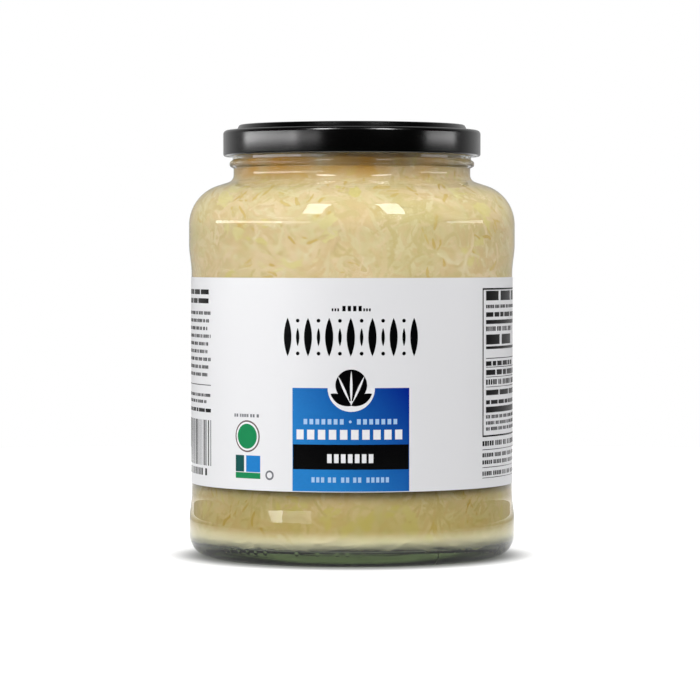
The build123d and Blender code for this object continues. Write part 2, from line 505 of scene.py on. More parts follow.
@dataclass(frozen=True)
class LabelFilm:
    """White polypropylene film with a satin varnish: bright, with a broad sheen towards the lamps."""

    name: str = "cast polypropylene label film"
    colour: str = "#E9E9EB"
    roughness: float = 0.3
    unevenness: float = 0.03
    mottle_size: float = 6.0
    wrinkle_size: float = 30.0
    wrinkle_height: float = 0.03

    def material(self) -> bpy.types.Material:
        """Make the material."""
        nodes = new_material(self.name)
        place = nodes.place()
        mottle = nodes.noise(place, self.mottle_size, 4.0)
        folds = nodes.noise(place, self.wrinkle_size, 1.0)
        dull, shiny = self.roughness + self.unevenness, self.roughness - self.unevenness
        film = nodes.principled(
            {
                "Base Color": linear(self.colour),
                "Roughness": nodes.ramp(mottle, low=shiny, high=dull),
                "IOR": 1.49,
                "Normal": nodes.bump(folds, self.wrinkle_height),
            }
        )
        return nodes.surface(film)


@dataclass(frozen=True)
class Ink:
    """Flexographic ink on the label film: flat colour, or a blend of two across the panel."""

    name: str
    colour: str
    far_colour: str = ""
    blend_from: tuple[float, float, float] = (0.0, 0.0, 0.0)
    blend_to: tuple[float, float, float] = (0.0, 0.0, 1.0)
    roughness: float = 0.18
    grain_size: float = 0.9
    grain: float = 0.06

    def material(self) -> bpy.types.Material:
        """Make the material. A blend runs from one place on the jar to another."""
        nodes = new_material(self.name)
        place = nodes.place()
        grain = nodes.noise(place, self.grain_size, 2.0)
        density = nodes.ramp(grain, low=1 - self.grain, high=1 + self.grain)
        colour = {0: self.blend(nodes, place), "Scale": density}
        inked = nodes.add_node("ShaderNodeVectorMath", colour, operation="SCALE").outputs["Vector"]
        finish = {"Base Color": inked, "Roughness": self.roughness, "IOR": 1.49}
        return nodes.surface(nodes.principled(finish))

    def blend(self, nodes: Nodes, place: Socket) -> Socket:
        """The ink's colour at each place.

        Args:
            nodes: The material's nodes.
            place: The place on the jar, in metres.

        Returns:
            The socket with the colour.
        """
        start, end = Vector(self.blend_from) * MM, Vector(self.blend_to) * MM
        along = end - start
        offset = nodes.vector("SUBTRACT", place, start)
        share = nodes.vector("DOT_PRODUCT", offset, along / along.length_squared, output="Value")
        return nodes.mix(share, linear(self.colour), linear(self.far_colour or self.colour))


@dataclass(frozen=True)
class Cabbage:
    """Fermented cabbage, cut and wet: matt cream to yellow, browner at the neck, with painted shade that
    darkens the lower pack and a painted pale haze at the foot.
    """

    name: str
    pale: str
    deep: str
    patch: str = "#A8A06C"
    patch_share: float = 0.5
    fibre_size: float = 3.6
    fibre_swing: float = 0.6
    drift_size: float = 17.0
    drift_from: float = 0.42
    patch_full: float = 0.7
    ripe_full: float = 0.6
    ripe_least: float = 0.15
    brown: str = "#AE7E34"
    neck_from: float = 120.0
    neck_to: float = 129.0
    # Painted shade: a colour multiplied into the lower pack, which gets less light from the lamps above.
    painted_low_shade: str = "#D8D4B2"
    low_from: float = 40.0
    low_full: float = 14.0
    # Painted haze: a paler colour at the foot, standing in for light scattered in the thick heel glass.
    painted_foot_haze: str = "#CCC9A8"
    foot_from: float = 11.0
    foot_full: float = 5.0
    softness: float = 0.9
    upturn: float = 0.9

    def material(self) -> bpy.types.Material:
        """Make the material: each shred has its own tone, and the pack's colour drifts over it."""
        nodes = new_material(self.name)
        place = nodes.place()
        fibre = nodes.noise(place, self.fibre_size, 4.0, 0.6)
        swing = nodes.ramp(fibre, low=-self.fibre_swing, high=self.fibre_swing)
        own = nodes.mix(nodes.math("ADD", nodes.tone(), swing), linear(self.pale), linear(self.deep))
        drift = nodes.noise(place, self.drift_size, 2.0)
        patch = nodes.ramp(drift, self.drift_from, self.patch_full, high=self.patch_share)
        ripe = nodes.ramp(drift, self.drift_from, self.ripe_full, low=self.ripe_least)
        height = nodes.part(place, "Z")
        neck = nodes.ramp(height, self.neck_from * MM, self.neck_to * MM)
        low = nodes.ramp(height, self.low_from * MM, self.low_full * MM)
        foot = nodes.ramp(height, self.foot_from * MM, self.foot_full * MM)
        # Share of painted shade: full from 40 mm down to 14 mm, then taken back towards the foot.
        painted_shade_share = nodes.math("SUBTRACT", low, foot, clamp=True)
        colour = nodes.mix(patch, own, linear(self.patch))
        colour = nodes.mix(nodes.math("MULTIPLY", neck, ripe), colour, linear(self.brown))
        # Painted shade darkens the lower pack, then the foot is blended to the painted pale haze.
        colour = nodes.mix(painted_shade_share, colour, linear(self.painted_low_shade), blend="MULTIPLY")
        colour = nodes.mix(foot, colour, linear(self.painted_foot_haze))
        cabbage = nodes.principled(
            {
                "Base Color": colour,
                "Normal": self.softened(nodes, place),
                "Roughness": 0.5,
                "IOR": 1.45,
                "Specular IOR Level": 0.08,
            }
        )
        return nodes.surface(cabbage)

    def softened(self, nodes: Nodes, place: Socket) -> Socket:
        """The surface's direction, turned partly out and up: cloudy brine evens out the light on a shred.

        Args:
            nodes: The material's nodes.
            place: The place on the jar, in metres.

        Returns:
            The socket with the direction.
        """
        own = nodes.add_node("ShaderNodeNewGeometry").outputs["Normal"]
        outward = nodes.vector("NORMALIZE", nodes.vector("MULTIPLY", place, (1.0, 1.0, 0.0)))
        lifted = nodes.vector("NORMALIZE", nodes.vector("ADD", outward, (0.0, 0.0, self.upturn)))
        return nodes.vector("NORMALIZE", nodes.mix(self.softness, own, lifted, kind="VECTOR"))


# ---------------------------------------------------------------- the jar


@dataclass
class GlassJar:
    """The moulded jar: rolls, label panel, shoulder, finish with bead and threads, thick base."""

    radius: float
    height: float
    panel_recess: float = 0.8
    wall: float = 3.2
    base_thickness: float = 4.6
    push_up: float = 3.0
    push_up_flat: float = 25.0
    floor_rise: float = 2.4
    floor_flat: float = 27.0
    blend_radius: float = 60.0
    bearing_width: float = 4.6
    bearing_rounding: float = 1.5
    heel_radius: float = 7.0
    heel_inner_radius: float = 4.2
    lower_roll_height: float = 13.0
    upper_roll_drop: float = 22.5
    roll_blend_height: float = 6.5
    roll_blend_radius: float = 25.0
    shoulder_radius: float = 13.5
    shoulder_fall: float = 18.0
    finish_height: float = 16.3
    finish_radius: float = 39.4
    finish_wall: float = 2.9
    neck_set_in: float = 0.3
    neck_fillet: float = 2.5
    mouth_blend: float = 6.0
    rim_inner_rounding: float = 1.3
    rim_outer_rounding: float = 0.6
    bead_proud: float = 1.0
    bead_height: float = 2.8
    bead_crest: float = 1.4
    bead_drop: float = 10.9
    bead_rounding: float = 0.7
    thread_count: int = 6
    thread_proud: float = 1.3
    thread_height: float = 1.8
    thread_arc: float = 48.0
    thread_lead: float = 3.5
    thread_drop: float = 5.2
    thread_fade: float = 4.0
    code_dots: tuple[float, ...] = (46.8, 42.7, 38.8, 35.2, 31.2, 19.2, 11.8, 5.0, 1.5)
    dot_height: float = 4.5
    dot_radius: float = 0.6
    dot_proud: float = 0.3
    fill_height: float = 133.0
    coarse_turn: float = 1.5
    fine_turn: float = 0.35
    fine_margin: float = 3.0

    @classmethod
    def from_frame(cls) -> GlassJar:
        """The jar with its overall sizes and fill height as the frame has them."""
        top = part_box("jar")[1]
        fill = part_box("sauerkraut")[1]
        return cls(radius=top.x / MM, height=top.z / MM, fill_height=fill.z / MM)

    @property
    def panel_radius(self) -> float:
        """Radius of the recessed label panel."""
        return self.radius - self.panel_recess

    @property
    def inner_radius(self) -> float:
        """Radius of the hollow."""
        return self.radius - self.wall

    @property
    def neck_foot(self) -> float:
        """Height where the shoulder meets the neck."""
        return self.height - self.finish_height

    def outside(self) -> list[Point]:
        """The outer outline from under the middle of the base to the rim."""
        neck = self.finish_radius - self.neck_set_in
        bearing_outer = self.radius - self.heel_radius
        bearing_inner = bearing_outer - self.bearing_width
        slope = math.tan(math.radians(self.shoulder_fall))
        shoulder = self.neck_foot - (self.radius - neck) * slope
        upper_roll = self.neck_foot - self.upper_roll_drop
        bead = self.height - self.bead_drop
        crest = self.finish_radius + self.bead_proud
        body = [
            (0, self.push_up, 0),
            (self.push_up_flat, self.push_up, self.blend_radius),
            (bearing_inner, 0, self.bearing_rounding),
            (self.radius, 0, self.heel_radius),
            (self.radius, self.lower_roll_height, self.roll_blend_radius),
            (self.panel_radius, self.lower_roll_height + self.roll_blend_height, self.roll_blend_radius),
            (self.panel_radius, upper_roll - self.roll_blend_height, self.roll_blend_radius),
            (self.radius, upper_roll, self.roll_blend_radius),
            (self.radius, shoulder, self.shoulder_radius),
            (neck, self.neck_foot, self.neck_fillet),
            (neck, bead - self.bead_height / 2, self.bead_rounding / 2),
            (crest, bead - self.bead_crest / 2, self.bead_rounding),
            (crest, bead + self.bead_crest / 2, self.bead_rounding),
            (self.finish_radius, bead + self.bead_height / 2, self.bead_rounding / 2),
        ]
        finish_foot = body[-1]
        middle = self.finish_radius - self.finish_wall / 2
        finish = [
            (finish_foot[0], finish_foot[1], 0),
            (self.finish_radius, self.height, self.rim_outer_rounding),
            (middle, self.height, 0),
        ]
        return rounded(body) + rounded(finish, line_step=0.2)[1:]

    def inside(self) -> list[Point]:
        """The outline of the hollow from the middle of its floor to the rim."""
        mouth = self.finish_radius - self.finish_wall
        slope = math.radians(self.shoulder_fall)
        foot = self.neck_foot - self.wall / math.cos(slope)
        shoulder = foot - (self.inner_radius - mouth) * math.tan(slope)
        floor = self.base_thickness + self.floor_rise
        return rounded(
            [
                (0, floor, 0),
                (self.floor_flat, floor, self.blend_radius),
                (self.inner_radius, self.base_thickness, self.heel_inner_radius),
                (self.inner_radius, shoulder, self.shoulder_radius - self.wall),
                (mouth, foot, self.mouth_blend),
                (mouth, self.height, self.rim_inner_rounding),
                (self.finish_radius - self.finish_wall / 2, self.height, 0),
            ]
        )

    def turns(self) -> np.ndarray:
        """The sections' angles: close together where the heel's dots are, wider elsewhere."""
        margin = self.fine_margin
        first, last = -max(self.code_dots) - margin, -min(self.code_dots) + margin
        fine = np.arange(first, last, self.fine_turn)
        coarse = np.arange(last, first + 360, self.coarse_turn)
        return np.radians(np.concatenate([fine, coarse]))

    def relief(self, outline: np.ndarray, turns: np.ndarray) -> np.ndarray:
        """How far the glass stands out along the outline's normal: thread ridges and heel dots.

        Args:
            outline: The outer outline's points.
            turns: The sections' angles.

        Returns:
            One height for each point of each section.
        """
        radius, height = outline[:, :1], outline[:, 1:]
        rise = np.zeros((len(outline), len(turns)))
        low_side = (radius > self.radius - self.heel_radius) & (height < self.heel_radius)
        for dot in self.code_dots:
            across = (turns + math.radians(dot)) * radius
            away = np.hypot(across, height - self.dot_height) / self.dot_radius
            rise += np.where(low_side & (away < 1), self.dot_proud * np.sqrt(np.clip(1 - away**2, 0, 1)), 0)
        on_wall = np.abs(radius - self.finish_radius) < 0.01
        half_arc = math.radians(self.thread_arc / 2)
        for i in range(self.thread_count):
            off = (turns - i * 2 * math.pi / self.thread_count + math.pi) % (2 * math.pi) - math.pi
            ends = np.clip((half_arc - np.abs(off)) / math.radians(self.thread_fade), 0, 1)
            middle = self.height - self.thread_drop
            middle = middle - self.finish_radius * off * math.tan(math.radians(self.thread_lead))
            away = np.clip(np.abs(height - middle) / (self.thread_height / 2), 0, 1)
            rise += np.where(on_wall, self.thread_proud * ends * np.cos(away * math.pi / 2), 0)
        return rise

    def build(self, glass: bpy.types.Material) -> bpy.types.Object:
        """Make the jar.

        Args:
            glass: Its finish, which reads 1 as the tone of the faces that meet brine.

        Returns:
            The jar.
        """
        outside = self.outside()
        outline = np.array(outside + self.inside()[::-1][1:])
        turns = self.turns()
        rise = np.zeros((len(outline), len(turns)))
        rise[: len(outside)] = self.relief(np.array(outside), turns)
        vertices, faces = lathe(list(map(tuple, outline)), turns, lift=rise)
        number = np.arange(len(vertices))
        inner_side = number > (len(outside) - 1) * len(turns)
        parts = MeshParts()
        parts.add(vertices, faces, tone=np.where(inner_side & (vertices[:, 2] < self.fill_height), 1.0, 0.0))
        jar = parts.build("jar_glass", glass, sharp_above=80)
        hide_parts("jar")
        return jar


# ---------------------------------------------------------------- the lid


@dataclass
class TwistLid:
    """The pressed steel cap: button, raised middle, ring over the rim, skirt, rolled edge and lugs."""

    radius: float
    top: float
    bottom: float
    sheet: float = 0.25
    corner: float = 1.3
    middle_rise: float = 1.8
    ring_inner: float = 38.1
    step_width: float = 0.9
    bend: float = 0.5
    button_radius: float = 15.0
    button_slope: float = 2.0
    button_depth: float = 0.5
    curl_radius: float = 0.85
    lug_count: int = 6
    lug_turn: float = 14.0
    lug_arc: float = 8.0
    lug_inner: float = 40.2
    sections: int = 288
    curl_sections: int = 22
    lug_sections: int = 7

    @classmethod
    def from_frame(cls) -> TwistLid:
        """The lid with its overall sizes as the frame has them."""
        low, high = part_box("lid")
        return cls(radius=high.x / MM, top=high.z / MM, bottom=low.z / MM)

    def face_corners(self, depth: float) -> list[Corner]:
        """Corners of the sheet's face from the axis to the skirt's lower edge.

        Args:
            depth: How far inside the sheet's outer face it lies.

        Returns:
            Radius, height and rounding of each corner.
        """
        ring = self.top - self.middle_rise
        raised = self.bend + self.sheet - depth
        sunk = self.bend + depth
        return [
            (0, self.top - self.button_depth - depth, 0),
            (self.button_radius + depth / 2, self.top - self.button_depth - depth, sunk),
            (self.button_radius + self.button_slope + depth / 8, self.top - depth, raised),
            (self.ring_inner - self.step_width - depth / 2, self.top - depth, raised),
            (self.ring_inner - depth / 2, ring - depth, sunk),
            (self.radius - depth, ring - depth, self.corner - depth),
            (self.radius - depth, self.bottom + self.curl_radius, 0),
        ]

    def outline(self) -> list[Point]:
        """The closed section: under the middle, down inside the skirt, round the curl, over the top."""
        outer = rounded(self.face_corners(0.0), arc_step=0.2)
        inner = rounded(self.face_corners(self.sheet), arc_step=0.2)
        end = math.acos(1 - self.sheet / self.curl_radius)
        centre = (self.radius - self.curl_radius, self.bottom + self.curl_radius)
        angles = np.linspace(0, -2 * math.pi + end, self.curl_sections)
        curl = [
            (centre[0] + self.curl_radius * math.cos(a), centre[1] + self.curl_radius * math.sin(a))
            for a in angles
        ]
        loop = outer + curl[1:] + inner[::-1][1:]
        return loop[::-1]

    def lug(self) -> list[Point]:
        """The section of one lug, a fold of the curl that reaches in under a thread."""
        low, high = self.bottom + self.curl_radius / 2, self.bottom + self.curl_radius * 2
        outer = self.radius - self.sheet / 2
        return [(self.lug_inner, low), (outer, low), (outer, high), (self.lug_inner, high)]

    def build(self, finish: bpy.types.Material) -> bpy.types.Object:
        """Make the lid.

        Args:
            finish: The lacquer.

        Returns:
            The lid.
        """
        parts = MeshParts()
        parts.add(*lathe(self.outline(), around(self.sections)))
        for i in range(self.lug_count):
            start = math.radians(90 - i * 360 / self.lug_count - self.lug_turn - self.lug_arc / 2)
            turns = start + np.radians(np.linspace(0, self.lug_arc, self.lug_sections))
            parts.add(*lathe(self.lug(), turns, full_turn=False))
        lid = parts.build("lid_steel", finish, sharp_above=60)
        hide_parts("lid")
        return lid


# ---------------------------------------------------------------- the label and its print


class InkName(Enum):
    """The label's inks."""

    BLUE = "blue"
    BLACK = "black"
    WHITE = "white"
    SKY = "sky"
    GREEN = "green"
    TEAL = "teal"
    RUST = "rust"
    GREY = "grey"


@dataclass
class WrapLabel:
    """The film label round the jar's panel, with a gap between its ends at the back."""

    radius: float
    bottom: float
    top: float
    thickness: float = 0.15
    gap: float = 8.0
    stand_off: float = 0.02
    sections: int = 480

    @classmethod
    def from_frame(cls) -> WrapLabel:
        """The label with its sizes as the frame has them."""
        low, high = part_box("label")
        return cls(radius=high.x / MM, bottom=low.z / MM, top=high.z / MM)

    @property
    def height(self) -> float:
        """Height of the label."""
        return self.top - self.bottom

    def build(self, film: bpy.types.Material) -> bpy.types.Object:
        """Make the bare label.

        Args:
            film: Its finish.

        Returns:
            The label.
        """
        inner = self.radius - self.thickness + self.stand_off
        low, high = self.bottom, self.top
        section = [(inner, low), (self.radius, low), (self.radius, high), (inner, high)]
        half = math.pi - self.gap / 2 / self.radius
        turns = np.linspace(-half, half, self.sections)
        parts = MeshParts()
        parts.add(*lathe(section, turns, full_turn=False))
        label = parts.build("label_film", film)
        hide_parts("label")
        return label


@dataclass
class PrintLayer:
    """Thin closed shapes of one ink, laid on the label at one level."""

    label: WrapLabel
    level: int = 0
    ink_thickness: float = 0.03
    sunk: float = 0.02
    word_lengths: tuple[float, float] = (1.6, 5.5)
    word_gap: float = 0.55
    least_word: float = 0.5
    letter_pitch: float = 0.85
    letter_shares: tuple[float, float] = (0.62, 0.8)
    longest_step: float = 1.5
    parts: MeshParts = field(default_factory=MeshParts)

    def shape(self, corners: list[Point]) -> None:
        """Add a convex shape.

        Args:
            corners: Its corners: along the label from its middle, and up from its lower edge.
        """
        outline = np.array(corners, float)
        left, right = outline[:, 0].min(), outline[:, 0].max()
        steps = max(1, math.ceil((right - left) / self.longest_step))
        stops = set(np.round(np.linspace(left, right, steps + 1), 4))
        stops |= set(np.round(outline[:, 0], 4))
        columns = [self.span(outline, s) for s in sorted(stops)]
        flat, edges = [], []
        for s, low, high in columns:
            edges.append((len(flat), len(flat) + (high - low > 1e-4)))
            flat += [(s, low)] if high - low <= 1e-4 else [(s, low), (s, high)]
        faces = []
        for (a, b), (c, d) in zip(edges, edges[1:]):
            faces.append(list(dict.fromkeys([a, c, d, b])))
        self.raise_up(np.array(flat), [face for face in faces if len(face) > 2])

    @staticmethod
    def span(outline: np.ndarray, at: float) -> tuple[float, float, float]:
        """The lowest and highest point of a convex outline at one place along the label."""
        heights = []
        for (s0, h0), (s1, h1) in zip(outline, np.roll(outline, -1, 0)):
            if min(s0, s1) - 1e-3 <= at <= max(s0, s1) + 1e-3:
                if abs(s1 - s0) < 1e-6:
                    heights += [h0, h1]
                else:
                    share = min(max((at - s0) / (s1 - s0), 0.0), 1.0)
                    heights.append(h0 + (h1 - h0) * share)
        return at, min(heights), max(heights)

    def raise_up(self, flat: np.ndarray, faces: list[list[int]]) -> None:
        """Give a flat shape the ink's thickness and bend it round the label.

        Args:
            flat: Its points along and up the label.
            faces: Its faces, turning left as seen from outside.
        """
        count = len(flat)
        base = self.label.radius - self.sunk
        crown = self.label.radius + self.ink_thickness * (self.level + 1)
        rings = []
        for radius in (base, crown):
            turn = flat[:, 0] / self.label.radius
            height = self.label.bottom + flat[:, 1]
            rings.append(np.stack([radius * np.sin(turn), -radius * np.cos(turn), height], 1))
        sides: dict[tuple[int, int], int] = {}
        for face in faces:
            for a, b in zip(face, face[1:] + face[:1]):
                sides[(a, b)] = sides.get((a, b), 0) + 1
        walls = [[a, b, b + count, a + count] for a, b in sides if (b, a) not in sides]
        top = [[v + count for v in face] for face in faces]
        under = [face[::-1] for face in faces]
        self.parts.add(np.concatenate(rings), top + under + walls)

    def bar(self, left: float, low: float, width: float, height: float) -> None:
        """Add a rectangle from its lower left corner and its size."""
        right, high = left + width, low + height
        self.shape([(left, low), (right, low), (right, high), (left, high)])

    def row(
        self, left: float, low: float, count: int, pitch: float, width: float, height: float
    ) -> None:
        """Add a row of equal bars from the first one's lower left corner."""
        for i in range(count):
            self.bar(left + i * pitch, low, width, height)

    def disc(self, along: float, up: float, radius: float, corners: int = 40) -> None:
        """Add a disc by its centre and radius."""
        angles = around(corners)
        self.shape([(along + radius * math.cos(a), up + radius * math.sin(a)) for a in angles])

    def leaf(self, along: float, up: float, length: float, width: float, lean: float) -> None:
        """Add a pointed oval.

        Args:
            along: Its foot's place along the label.
            up: Its foot's height.
            length: Foot to tip.
            width: Its greatest width.
            lean: Degrees that it leans to the right of upright.
        """
        shares = np.linspace(0, 1, 13)
        half = width / 2 * np.sin(shares * math.pi) ** 0.8
        turn = math.radians(lean)
        points = []
        for share, side in [*zip(shares, half), *zip(shares[-2:0:-1], -half[-2:0:-1])]:
            across, rise = side, share * length
            points.append(
                (
                    along + across * math.cos(turn) + rise * math.sin(turn),
                    up - across * math.sin(turn) + rise * math.cos(turn),
                )
            )
        self.shape(points)

    def words(
        self, left: float, low: float, width: float, height: float, seed: int, solid: bool = False
    ) -> None:
        """Fill a line with plain blocks, as long as words, in place of text.

        Args:
            left: Where the line starts.
            low: Its lower edge.
            width: Its length.
            height: Height of the blocks.
            seed: The seed of the blocks' lengths.
            solid: One block for each word, with no finer breaks.
        """
        draw = np.random.default_rng(seed)
        at, end = left, left + width
        while at < end - height * self.least_word:
            word = min(height * draw.uniform(*self.word_lengths), end - at)
            letters = 1 if solid else max(1, round(word / (height * self.letter_pitch)))
            pitch = word / letters
            for i in range(letters):
                share = 1.0 if solid else draw.uniform(*self.letter_shares)
                self.bar(at + i * pitch, low, pitch * share, height)
            at += word + height * self.word_gap

    def build(self, name: str, finish: bpy.types.Material) -> bpy.types.Object:
        """Make the layer's piece.

        Args:
            name: Its name.
            finish: Its ink.

        Returns:
            The piece.
        """
        piece = self.parts.build(name, finish, sharp_above=30)
        return piece


@dataclass
class Artwork:
    """The label's print: fields of colour, a frieze, a cabbage head and blocks in place of words."""

    label: WrapLabel
    panel_width: float = 37.8
    panel_height: float = 33.0
    panel_centre: float = -0.35
    panel_low: float = 0.25
    blend_across: float = 30.0
    blend_down: float = 23.0
    window_radius: float = 7.5
    window_shift: float = 0.15
    band_low: float = 7.2
    band_height: float = 7.9
    band_inset: float = 0.2
    facts_left: float = 48.5
    facts_low: float = 16.4
    facts_width: float = 52.0
    facts_height: float = 48.0
    facts_margin: float = 2.0
    note_share: float = 0.95
    frame_line: float = 0.55
    column_right: float = -54.8
    column_width: float = 46.0
    code_width: float = 30.0
    code_low: float = 6.8
    code_height: float = 14.8
    layers: dict[InkName, PrintLayer] = field(default_factory=dict)

    def layer(self, ink: InkName, level: int = 0) -> PrintLayer:
        """The layer of an ink, made when first asked for.

        Args:
            ink: The ink.
            level: How many inks lie under what is drawn next.

        Returns:
            The layer, set to that level.
        """
        layer = self.layers.setdefault(ink, PrintLayer(self.label))
        layer.level = level
        return layer

    @property
    def window_centre(self) -> float:
        """Where the round window's centre lies along the label."""
        return self.panel_centre + self.window_shift

    def draw_panel(self) -> None:
        """The blue panel with its black band and the round window in its upper edge."""
        left = self.panel_centre - self.panel_width / 2
        low, inset = self.panel_low, self.band_inset
        self.layer(InkName.BLUE).bar(left, low, self.panel_width, self.panel_height - low)
        band_width = self.panel_width - 2 * inset
        self.layer(InkName.BLACK, 1).bar(left + inset, self.band_low, band_width, self.band_height)
        middle = self.window_centre
        low_half = [
            (middle + self.window_radius * math.cos(a), self.panel_height + self.window_radius * math.sin(a))
            for a in np.linspace(-math.pi, 0, 25)
        ]
        self.layer(InkName.WHITE, 1).shape(low_half)

    def draw_panel_words(self) -> None:
        """Blocks in place of the lines on the panel."""
        white = self.layer(InkName.WHITE, 1)
        white.row(self.panel_centre - 17.5, 16.7, count=10, pitch=3.52, width=2.35, height=3.1)
        white.level = 2
        white.row(self.panel_centre - 7.5, 9.3, count=7, pitch=2.2, width=1.45, height=2.8)
        sky = self.layer(InkName.SKY, 1)
        for left in (-15.5, 1.6):
            sky.row(left, 21.5, count=7, pitch=1.95, width=1.2, height=1.7)
        sky.disc(-0.5, 22.35, radius=0.45, corners=12)
        for left, count in ((-12.9, 3), (-7.6, 2), (-3.4, 2), (0.4, 2), (4.6, 5)):
            sky.row(left, 3.1, count, pitch=1.55, width=1.0, height=1.65)

    def draw(self) -> None:
        """Lay down every part of the print."""
        self.draw_panel()
        self.draw_panel_words()
        self.draw_frieze()
        self.draw_cabbage()
        self.draw_marks()
        self.draw_facts()
        self.draw_column()

    def draw_frieze(self) -> None:
        """A frieze of plain pointed ovals in the main line's place, with a fine line of blocks above it."""
        black = self.layer(InkName.BLACK)
        pitch = 6.85
        for i in range(7):
            centre = self.panel_centre + (i - 3) * pitch
            black.leaf(centre, 43.0, length=12.2, width=2.6, lean=0)
            if i < 6:
                between = centre + pitch / 2
                black.leaf(between, 46.2, length=5.8, width=1.1, lean=0)
                for up in (43.9, 54.3):
                    black.disc(between, up, radius=0.6, corners=16)
        for left, count, tall in ((-6.4, 3, 0.9), (-3.0, 4, 1.7), (3.6, 3, 0.9)):
            black.row(left, 57.3, count, tall, tall * 0.6, tall)

    def draw_cabbage(self) -> None:
        """A cabbage head in the window: a ball with pale ribs, between two outer leaves."""
        black = self.layer(InkName.BLACK, 2)
        white = self.layer(InkName.WHITE, 3)
        middle = self.window_centre
        black.disc(middle, 33.9, radius=5.0)
        for side in (-1, 1):
            black.leaf(middle, 27.4, length=7.6, width=3.0, lean=side * 60)
            white.leaf(middle + side * 0.5, 28.6, length=9.0, width=0.75, lean=side * 24)
        white.leaf(middle, 28.2, length=10.2, width=0.8, lean=0)

    def draw_marks(self) -> None:
        """Plain coloured fields where small marks stand, at the left of the panel."""
        self.layer(InkName.GREY).words(-41.8, 23.3, width=10.7, height=1.0, seed=3)
        for level, (ink, radius) in enumerate(
            ((InkName.RUST, 5.1), (InkName.WHITE, 4.6), (InkName.GREEN, 4.0))
        ):
            self.layer(ink, level).disc(-36.2, 17.2, radius)
        self.layer(InkName.TEAL).bar(-41.2, 5.8, width=3.7, height=5.3)
        self.layer(InkName.BLUE).bar(-36.6, 5.8, width=5.7, height=5.3)
        self.layer(InkName.GREEN).bar(-41.2, 3.7, width=10.3, height=1.9)
        self.layer(InkName.GREY).disc(-27.4, 5.0, radius=1.55, corners=24)
        self.layer(InkName.WHITE, 1).disc(-27.4, 5.0, radius=0.95, corners=20)

    def draw_facts(self) -> None:
        """The facts table at the right: a frame, rules, and blocks in place of words."""
        black = self.layer(InkName.BLACK)
        left, low = self.facts_left, self.facts_low
        width, height, line = self.facts_width, self.facts_height, self.frame_line
        for x, y, w, h in (
            (left, low, width, line),
            (left, low + height - line, width, line),
            (left, low + line, line, height - 2 * line),
            (left + width - line, low + line, line, height - 2 * line),
        ):
            black.bar(x, y, w, h)
        text_left, text_width = left + self.facts_margin, width - 2 * self.facts_margin
        rows = (
            (60.4, 3.1, 0.9, True),
            (57.9, 1.1, 0.7, False),
            (55.1, 1.5, 0.9, True),
            (50.5, 1.5, 0.5, False),
            (46.2, 3.2, 0.45, True),
            (39.3, 1.5, 0.5, True),
            (36.3, 1.7, 0.9, True),
            (33.2, 1.7, 0.95, False),
            (29.8, 1.7, 0.8, True),
            (26.9, 1.3, 0.6, True),
            (22.3, 1.1, 0.95, False),
            (20.3, 1.1, 0.95, False),
            (18.4, 1.1, 0.7, False),
        )
        for number, (foot, tall, share, bold) in enumerate(rows):
            black.words(text_left, foot, text_width * share, tall, seed=20 + number, solid=bold)
        rules = ((52.8, 1.3), (44.7, 0.9), (41.6, 0.25), (38.75, 0.2), (35.6, 0.2), (32.4, 0.2), (24.2, 1.9))
        for foot, tall in rules:
            black.bar(text_left, foot, text_width, tall)
        note_width = width * self.note_share
        notes = ((13.5, 1.6), (9.9, 1.3), (7.6, 1.3), (3.9, 1.4))
        for number, (foot, tall) in enumerate(notes):
            black.words(left, foot, note_width, tall, seed=40 + number)
        for foot in (12.2, 6.45, 3.1):
            black.bar(left, foot, note_width, height=0.22)

    def draw_column(self) -> None:
        """The text column at the left, as blocks, with a plain bar pattern under it."""
        black = self.layer(InkName.BLACK)
        left = self.column_right - self.column_width
        black.words(left, 62.3, self.column_width - 1.4, 1.6, seed=60, solid=True)
        black.words(left, 59.4, self.column_width - 1.4, 1.6, seed=61, solid=True)
        for i in range(9):
            black.words(left, 55.7 - i * 2.5, self.column_width - (i % 3) * 1.1, 1.1, seed=62 + i)
        black.bar(left, 32.8, self.column_width, 0.25)
        black.words(left, 29.1, self.column_width, 1.0, seed=72)
        black.words(left, 27.0, self.column_width - 3, 1.0, seed=73)
        black.words(left, 24.1, self.column_width, 1.2, seed=74, solid=True)
        draw = np.random.default_rng(75)
        at = start = self.column_right - self.code_width
        while at < self.column_right:
            stroke = draw.choice((0.33, 0.33, 0.66, 0.99))
            width = min(stroke, self.column_right - at + 0.1)
            black.bar(at, self.code_low, width, self.code_height)
            at += stroke + draw.choice((0.33, 0.66, 0.66, 0.99))
        black.words(start, 3.6, width=28.0, height=2.3, seed=76)

    def build(self) -> list[bpy.types.Object]:
        """Make one piece for each ink.

        Returns:
            The pieces.
        """
        half = self.panel_width / 2
        panel_top = self.label.bottom + self.panel_height
        inks = {
            InkName.BLUE: Ink(
                "flexographic ink, blue",
                "#011C8A",
                "#237FC9",
                (half, 0.0, panel_top),
                (half - self.blend_across, 0.0, panel_top - self.blend_down),
            ),
            InkName.BLACK: Ink("flexographic ink, black", "#040405"),
            InkName.WHITE: Ink("flexographic ink, opaque white", "#F1F1F3"),
            InkName.SKY: Ink("flexographic ink, pale blue", "#A9CBEE"),
            InkName.GREEN: Ink("flexographic ink, green", "#1F8A55"),
            InkName.TEAL: Ink("flexographic ink, dark teal", "#1D5552"),
            InkName.RUST: Ink("flexographic ink, brown-grey", "#6E5A5A"),
            InkName.GREY: Ink("flexographic ink, grey", "#77787D"),
        }
        pieces = []
        for ink, layer in self.layers.items():
            if layer.parts.count:
                pieces.append(layer.build(f"print_{ink.value}", inks[ink].material()))
        return pieces


# ---------------------------------------------------------------- the filling


